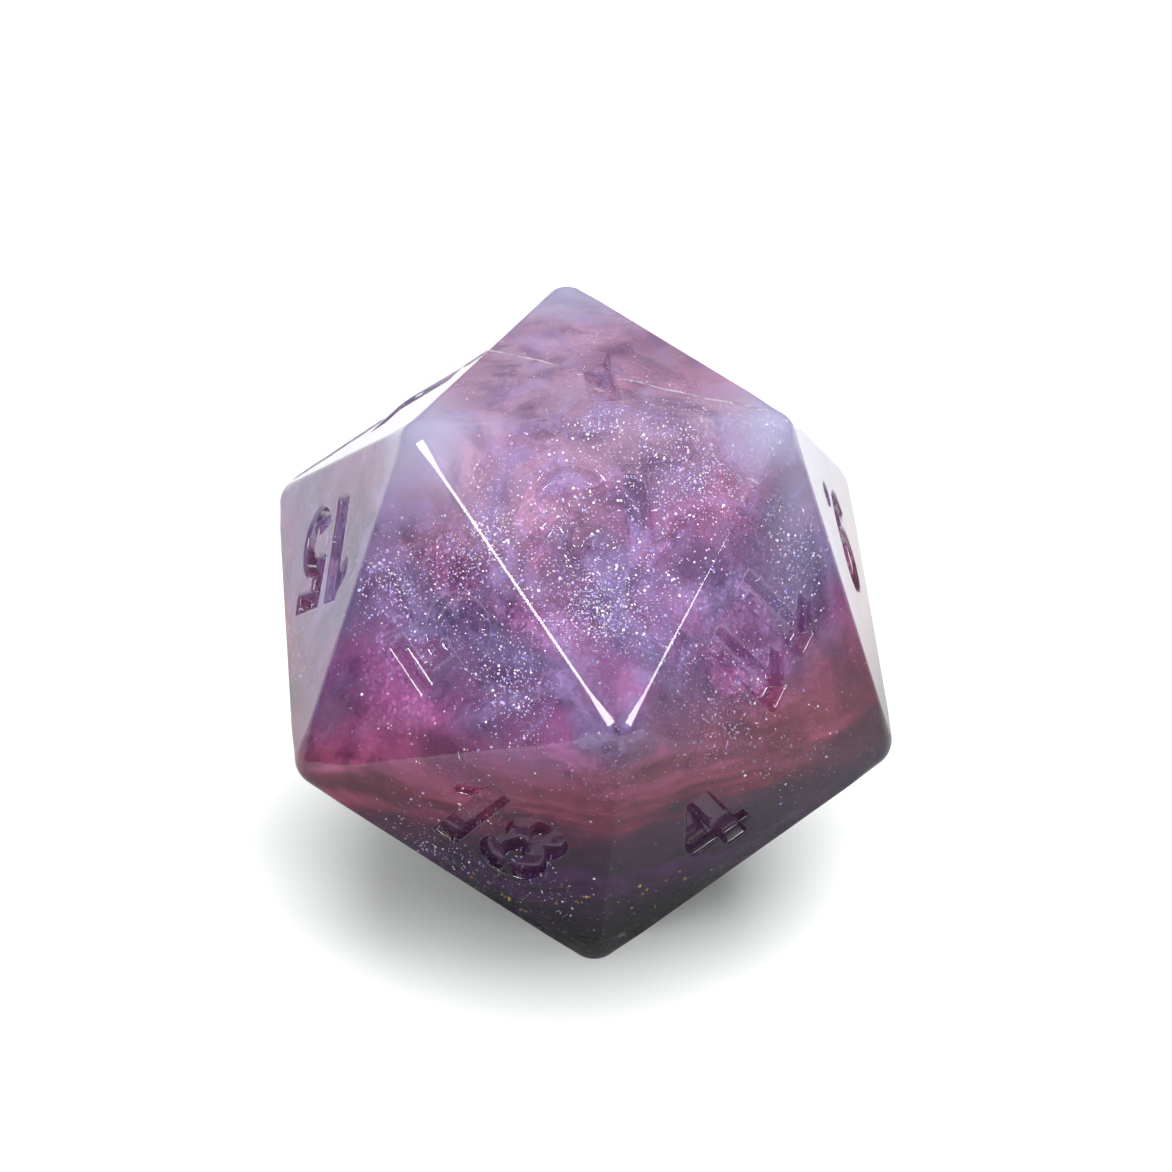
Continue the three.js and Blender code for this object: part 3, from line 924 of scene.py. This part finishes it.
# The main tint at each height, and the tint of the swirls in it. Heights are shares of the die's.
BODY_TINTS = [
    (0.00, (10, 10, 13)),
    (0.10, (13, 11, 18)),
    (0.20, (26, 14, 30)),
    (0.30, (48, 20, 48)),
    (0.38, (78, 26, 52)),
    (0.44, (100, 38, 58)),
    (0.50, (110, 52, 76)),
    (0.58, (100, 66, 100)),
    (0.70, (96, 80, 118)),
    (0.84, (104, 77, 108)),
    (1.00, (156, 128, 154)),
]
SWIRL_TINTS = [
    (0.00, (8, 9, 9)),
    (0.13, (30, 18, 38)),
    (0.24, (64, 26, 74)),
    (0.32, (36, 16, 38)),
    (0.40, (118, 34, 56)),
    (0.48, (144, 68, 100)),
    (0.58, (154, 84, 138)),
    (0.70, (132, 84, 130)),
    (0.84, (140, 88, 124)),
    (1.00, (176, 138, 166)),
]
WHITE = (1.0, 1.0, 1.0)
SILVER = srgb(150, 136, 190)
MILK = srgb(157, 154, 182)

# How far the levels rise towards the right, and the shift of each noise pattern
TILT = 0.13
RESIN_SEED, PIGMENT_SEED = 3, 11


def tint(shader, seed):
    """The resin's colour at each place: levels of tint that wander and swirl, milky at the upper corners
    and sides. Returns the colour, the wandering place that its noise is read at, the place and the level,
    in mm."""
    place = shader.place()
    shifted = shader.vector("ADD", place, (seed, 2 * seed, 0))
    wander = shader.noise(shifted, 0.16, 2.0).outputs["Color"]
    wander = shader.vector("SUBTRACT", wander, (0.5, 0.5, 0.5))
    drift = shader.vector("MULTIPLY", wander, (7.0, 7.0, 4.4))
    moved = shader.vector("ADD", shifted, drift)
    axes = shader.add("ShaderNodeSeparateXYZ", {0: shader.vector("ADD", place, drift)}).outputs
    height = shader.math("MULTIPLY_ADD", axes["X"], -TILT, axes["Z"])
    # Flat strata low down give way to clouds
    flat = shader.vector("MULTIPLY", moved, (0.16, 0.16, 1.1))
    strata = shader.noise(flat, 1.0, 5.0).outputs["Fac"]
    clouds = shader.noise(moved, 0.3, 6.0).outputs["Fac"]
    lower = shader.smooth(height, 8, 12, 1, 0)
    streaks = shader.math("MULTIPLY", shader.math("SUBTRACT", strata, 0.5), 5.5)
    level = shader.math("MULTIPLY_ADD", streaks, lower, height)
    share = shader.math("DIVIDE", level, 20)
    body = shader.ramp(share, BODY_TINTS)
    swirl = shader.ramp(share, SWIRL_TINTS)
    swirled = shader.smooth(shader.between(lower, clouds, strata), 0.44, 0.64)
    colour = shader.mix(swirled, body, swirl)
    # Darker patches, and silvery veins high up
    shade = shader.noise(moved, 0.55, 7.0).outputs["Fac"]
    dark = shader.smooth(shade, 0.36, 0.54, 0.7, 0)
    colour = shader.mix(dark, colour, shader.mix(1.0, colour, srgb(150, 128, 168), "MULTIPLY"))
    vein = shader.noise(moved, 0.5, 7.0, Distortion=0.4).outputs["Fac"]
    high_up = shader.smooth(height, 10, 13, 0, 0.4)
    silvery = shader.math("MULTIPLY", shader.smooth(vein, 0.5, 0.66), high_up)
    colour = shader.mix(silvery, colour, SILVER)
    # Milky resin at the upper corners, the back, the right and a little at the left
    radius = shader.vector("LENGTH", shader.vector("SUBTRACT", place, (0, 0, 10)))
    above = shader.smooth(height, 12.5, 16.5)
    corner = shader.smooth(radius, 10.9, 12.2)
    sides = shader.add("ShaderNodeSeparateXYZ", {0: place}).outputs
    back = shader.smooth(sides["Y"], 3.5, 6.5, 0, 0.85)
    right = shader.smooth(sides["X"], 4.4, 7.2, 0, 0.6)
    left = shader.smooth(sides["X"], -7.2, -4.4, 0.1, 0)
    milky = corner
    for mask in (back, right, left):
        milky = shader.math("MAXIMUM", milky, mask)
    milky = shader.math("MULTIPLY", milky, above)
    return shader.mix(milky, colour, MILK), moved, place, level


def resin_material():
    """Clear resin with a haze of tint in it. It is hazier at the corners and in the low numerals, and light
    passes through it unbent to what lies inside."""
    shader = Shader(bpy.data.materials.new("resin"))
    colour, moved, place, level = tint(shader, RESIN_SEED)
    engraved = shader.add("ShaderNodeAttribute", attribute_name="engraved").outputs["Fac"]
    # Painted light: low down, the engraved grooves are tinted a lighter mauve. It stands in for the light
    # that fills them, so they don't look dark.
    painted_light_in_grooves = shader.math("MULTIPLY", engraved, shader.smooth(level, 8, 11, 0.25, 0))
    colour = shader.mix(painted_light_in_grooves, colour, srgb(108, 84, 102))
    waves = shader.noise(moved, 0.7, 2.0).outputs["Fac"]
    bump_inputs = {"Height": waves, "Strength": 0.25, "Distance": 0.02 * MM}
    bump = shader.add("ShaderNodeBump", bump_inputs).outputs[0]
    gloss = {"IOR": 1.5, "Normal": bump}
    hazy = shader.principled({"Base Color": colour, "Roughness": 0.06, **gloss})
    clear = shader.principled({"Base Color": WHITE, "Roughness": 0.03, "Transmission Weight": 1.0, **gloss})
    radius = shader.vector("LENGTH", shader.vector("SUBTRACT", place, (0, 0, 10)))
    on_faces = shader.smooth(radius, 10.5, 11.5, 0.68, 0.2)
    in_numerals = shader.smooth(level, 6, 11, 0.2, 0.85)
    clarity = shader.between(engraved, on_faces, in_numerals)
    surface = shader.add("ShaderNodeMixShader", {0: clarity, 1: hazy, 2: clear}).outputs[0]
    path = shader.add("ShaderNodeLightPath").outputs
    open_air = shader.add("ShaderNodeBsdfTransparent").outputs[0]
    for kind in ("Is Diffuse Ray", "Is Shadow Ray"):
        surface = shader.add("ShaderNodeMixShader", {0: path[kind], 1: surface, 2: open_air}).outputs[0]
    return shader.finish(surface)


def pigment_material(name):
    """Tinted mica powder: facets that tilt the shading a little, and a shimmer that comes and goes."""
    shader = Shader(bpy.data.materials.new(name))
    colour, moved, place, _ = tint(shader, PIGMENT_SEED)
    grain_inputs = {"Vector": place, "Scale": 9.0}
    grain = shader.add("ShaderNodeTexVoronoi", grain_inputs, voronoi_dimensions="3D").outputs["Color"]
    facets = shader.vector("SCALE", shader.vector("SUBTRACT", grain, (0.5, 0.5, 0.5)), 0.35)
    normal = shader.add("ShaderNodeNewGeometry").outputs["Normal"]
    tilted = shader.vector("NORMALIZE", shader.vector("ADD", normal, facets))
    shimmer = shader.noise(moved, 0.3, 3.0).outputs["Fac"]
    surface = shader.principled(
        {
            "Base Color": colour,
            "Roughness": 0.42,
            "Metallic": shader.smooth(shimmer, 0.4, 0.62, 0.1, 0.5),
            "Specular IOR Level": 0.0,
            "Normal": tilted,
        }
    )
    return shader.finish(surface)


def flake_material(name, stops, roughness, metallic):
    """A tint of its own for each flake."""
    shader = Shader(bpy.data.materials.new(name))
    island = shader.add("ShaderNodeNewGeometry").outputs["Random Per Island"]
    colour = shader.ramp(island, stops)
    return shader.finish(
        shader.principled({"Base Color": colour, "Roughness": roughness, "Metallic": metallic})
    )


def thread_material():
    shader = Shader(bpy.data.materials.new("mould_line"))
    cloudy = shader.noise(shader.place(), 2.0, 3.0).outputs["Fac"]
    colour = shader.mix(shader.smooth(cloudy, 0.35, 0.65), srgb(178, 160, 182), srgb(222, 212, 228))
    inputs = {"Base Color": colour, "Roughness": 0.15, "IOR": 1.5, "Transmission Weight": 0.5}
    return shader.finish(shader.principled(inputs))


def floor_material():
    """Pale paper, with a painted shadow: reflections see the floor darker within about 12 to 32 mm of the
    die, so that its low faces stay dark.
    """
    shader = Shader(bpy.data.materials.new("studio_floor"))
    pale = (0.86, 0.88, 0.88)
    distance = shader.vector("LENGTH", shader.add("ShaderNodeTexCoord").outputs["Object"])
    # Painted shadow, seen only in reflections: the floor's tone goes from 0.4 near the die to pale by 32 mm
    painted_shadow_tone = shader.mix(shader.smooth(distance, 12 * MM, 32 * MM), (0.4, 0.41, 0.42), pale)
    paper, painted_shadow_floor = (shader.principled({"Base Color": tone, "Roughness": 0.6}) for tone in (pale, painted_shadow_tone))
    # Reflections see the floor with the painted shadow. All other rays see plain paper.
    glossy = shader.add("ShaderNodeLightPath").outputs["Is Glossy Ray"]
    return shader.finish(shader.add("ShaderNodeMixShader", {0: glossy, 1: paper, 2: painted_shadow_floor}).outputs[0])


SHIMMER_TINTS = [
    (0.0, (140, 122, 240)),
    (0.25, (182, 208, 255)),
    (0.5, (236, 174, 250)),
    (0.65, (255, 255, 255)),
]
GOLD_TINTS = [(0.0, (255, 190, 90)), (0.5, (230, 150, 60)), (0.9, (160, 220, 120))]

resin_surface.data.materials.append(resin_material())
for piece in pigments:
    piece.data.materials.append(pigment_material(piece.name))
flash.data.materials.append(thread_material())
for piece in (mica, glitter):
    piece.data.materials.append(flake_material(piece.name, SHIMMER_TINTS, 0.25, 0.4))
gold.data.materials.append(flake_material(gold.name, GOLD_TINTS, 0.2, 0.8))

# ---- Stage: floor, light and camera ----


def facing(azimuth, elevation):
    """The direction towards a place round the die. Azimuth 0 is in front, towards -Y."""
    azimuth, elevation = math.radians(azimuth), math.radians(elevation)
    flat = math.cos(elevation)
    return Vector((math.sin(azimuth) * flat, -math.cos(azimuth) * flat, math.sin(elevation)))


def make_floor():
    radius, rings, spokes = 3.0, 24, 96
    points = [(0, 0, 0)]
    for i in range(1, rings + 1):
        r = radius * (i / rings) ** 2
        for j in range(spokes):
            a = 2 * math.pi * j / spokes
            points.append((r * math.cos(a), r * math.sin(a), 0))
    polygons = [polygon[::-1] for polygon in ringed(rings, spokes)]
    mesh = new_mesh("studio_floor", points, polygons)
    mesh.materials.append(floor_material())
    add_object("studio_floor", mesh)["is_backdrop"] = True


def lamp(name, direction, along, distance, width, height, radiance):
    """A rectangular lamp that faces the die, with its height along the given direction."""
    area = bpy.data.lights.new(name, "AREA")
    area.shape, area.size, area.size_y = "RECTANGLE", width, height
    area.energy = radiance * math.pi * width * height
    light = add_object(name, area)
    rotation = Matrix((along.cross(direction), along, direction)).transposed()
    light.matrix_world = Matrix.Translation(Vector(CENTRE) + direction * distance) @ rotation.to_4x4()
    return light


def panel(name, start, end, distance, width, radiance):
    """A lamp that the die mirrors, reaching from one direction to another. It lights nothing."""
    start, end = facing(*start), facing(*end)
    length = 2 * distance * math.tan(start.angle(end) / 2)
    direction, along = (start + end).normalized(), (end - start).normalized()
    light = lamp(name, direction, along, distance, width, length, radiance)
    light.visible_diffuse = False


def softbox(name, place, distance, size, radiance):
    """A large square lamp, kept out of the reflections."""
    direction = facing(*place)
    along = direction.cross(Vector((1, 0, 0))).normalized()
    light = lamp(name, direction, along, distance, size, size, radiance)
    light.visible_glossy = False


def make_camera():
    """The camera sees the die from slightly left of the front and from above, tilted a little."""
    azimuth, elevation, distance = -6.909, 29.569, 11.62 * EDGE
    yaw, pitch, roll = -0.073, -0.451, math.radians(1.722)
    forward = -facing(azimuth + yaw, elevation + pitch)
    right = forward.cross(Vector((0, 0, 1))).normalized()
    up = right.cross(forward)
    across = math.cos(roll) * right + math.sin(roll) * up
    upright = math.cos(roll) * up - math.sin(roll) * right
    lens = bpy.data.cameras.new("camera")
    lens.sensor_width = 36
    lens.angle = math.radians(15.754)
    lens.clip_start, lens.clip_end = 0.01, 10
    camera = add_object("camera", lens)
    rotation = Matrix((across, upright, -forward)).transposed()
    place = Vector(CENTRE) + facing(azimuth, elevation) * distance
    camera.matrix_world = Matrix.Translation(place) @ rotation.to_4x4()
    bpy.context.scene.camera = camera


def make_light():
    """A dim studio that grows brighter upwards, with three softboxes and two panels."""
    shader = Shader(bpy.data.worlds.new("studio"))
    direction = shader.add("ShaderNodeTexCoord").outputs["Generated"]
    height = shader.add("ShaderNodeSeparateXYZ", {0: direction}).outputs["Z"]
    glow = {"Color": WHITE, "Strength": shader.smooth(height, 0.2, 1.0, 0.19, 0.53)}
    studio = shader.add("ShaderNodeBackground", glow).outputs[0]
    bpy.context.scene.world = shader.finish(studio, "ShaderNodeOutputWorld")
    softbox("top_softbox", (110, 82), 0.6, 0.5, 5.9)
    softbox("front_softbox", (-45, 30), 0.6, 0.3, 5.9)
    softbox("right_softbox", (45, 30), 0.6, 0.2, 5.4)
    panel("key_panel", (-22, 50), (-48, 28), 0.6, 0.13, 18)
    panel("fill_panel", (39, 40), (56, 22), 0.6, 0.11, 16)


make_floor()
make_camera()
make_light()
scene = bpy.context.scene
scene.view_settings.view_transform = "Standard"
scene.cycles.use_denoising = True
scene.cycles.caustics_reflective = False
scene.cycles.caustics_refractive = False

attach(resin_surface, "root")
for name, piece in zip(POURS, pigments):
    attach(piece, "root")
    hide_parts(f"{name}_pour")
for piece, name in [(mica, "violet"), (glitter, "pearl"), (gold, "midnight"), (flash, "pearl")]:
    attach(piece, "root")

boxes = {"cad": cad_box, "visual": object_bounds()}
{name: [list(corner) for corner in box] for name, box in boxes.items()}
